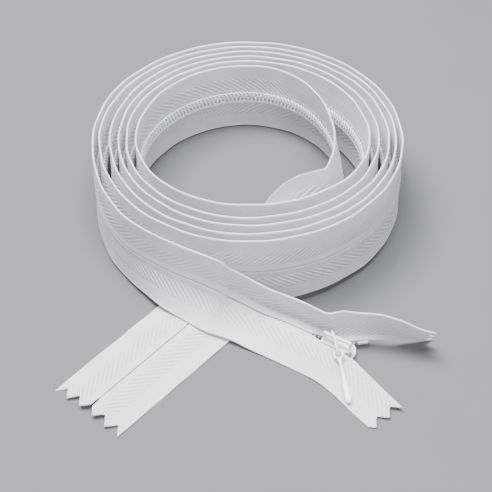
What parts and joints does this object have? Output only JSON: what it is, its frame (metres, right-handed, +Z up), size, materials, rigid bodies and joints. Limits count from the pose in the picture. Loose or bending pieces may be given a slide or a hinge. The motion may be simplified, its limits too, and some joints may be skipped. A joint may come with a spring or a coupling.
{
  "type": "concealed zipper",
  "caption": "White concealed coil zipper, closed and wound into a standing ring of tape with both ends loose.",
  "frame": {"origin": "on the floor under the middle of the whole part", "axes": "+Z up out of the floor; +Y from the loose ends towards the back of the ring; +X to the right"},
  "size_m": [0.1084, 0.1408, 0.0276],
  "materials": {
    "tape": "matt weave with a herringbone band",
    "coil": "smooth",
    "cord": "twisted",
    "thread": "stitched",
    "stop": "moulded",
    "metal": "gloss enamel"
  },
  "bodies": {
    "tape_assembly": {"bottom_stop": "stop", "left_coil_bottom_tail": "coil", "left_coil_inner_loop": "coil", "left_coil_slider_run": "coil", "left_coil_top_end": "coil", "left_coil_top_tail": "coil", "left_coil_wound": "coil", "left_cord_bottom": "cord", "left_cord_top": "cord", "left_cord_wound": "cord", "left_tape_bottom_tail": "tape", "left_tape_inner_loop": "tape", "left_tape_slider_run": "tape", "left_tape_top_end": "tape", "left_tape_top_tail": "tape", "left_tape_turn_1": "tape", "left_tape_turn_2": "tape", "left_tape_turn_3": "tape", "left_tape_turn_4": "tape", "left_tape_turn_5": "tape", "left_tape_turn_6": "tape", "left_thread_bottom": "thread", "left_thread_top": "thread", "left_thread_wound": "thread", "left_top_stop": "stop", "right_coil_bottom_tail": "coil", "right_coil_inner_loop": "coil", "right_coil_slider_run": "coil", "right_coil_top_end": "coil", "right_coil_top_tail": "coil", "right_coil_wound": "coil", "right_cord_bottom": "cord", "right_cord_top": "cord", "right_cord_wound": "cord", "right_tape_bottom_tail": "tape", "right_tape_inner_loop": "tape", "right_tape_slider_run": "tape", "right_tape_top_end": "tape", "right_tape_top_tail": "tape", "right_tape_turn_1": "tape", "right_tape_turn_2": "tape", "right_tape_turn_3": "tape", "right_tape_turn_4": "tape", "right_tape_turn_5": "tape", "right_tape_turn_6": "tape", "right_thread_bottom": "thread", "right_thread_top": "thread", "right_thread_wound": "thread", "right_top_stop": "stop"},
    "slider": {"slider_body": "metal"},
    "link": {"pull_link": "metal"},
    "tab": {"pull_tab": "metal"}
  },
  "joints": [
    {"name": "slider_slide", "type": "slide", "parent": "tape_assembly", "child": "slider", "axis": [-0.8572, 0.515, 0], "range_m": [0, 0.008], "deforming": ["left_coil_slider_run", "right_coil_slider_run"]},
    {"name": "link_swing", "type": "hinge", "parent": "slider", "child": "link", "pos_m": [0.0246, -0.03978, 0.00703], "axis": [-0.8572, 0.515, 0], "range_deg": [0, 70]},
    {"name": "tab_swivel", "type": "hinge", "parent": "link", "child": "tab", "pos_m": [0.0259, -0.0446, 0.00491], "axis": [-0.1634, -0.2397, 0.957], "range_deg": [-20, 30]}
  ]
}
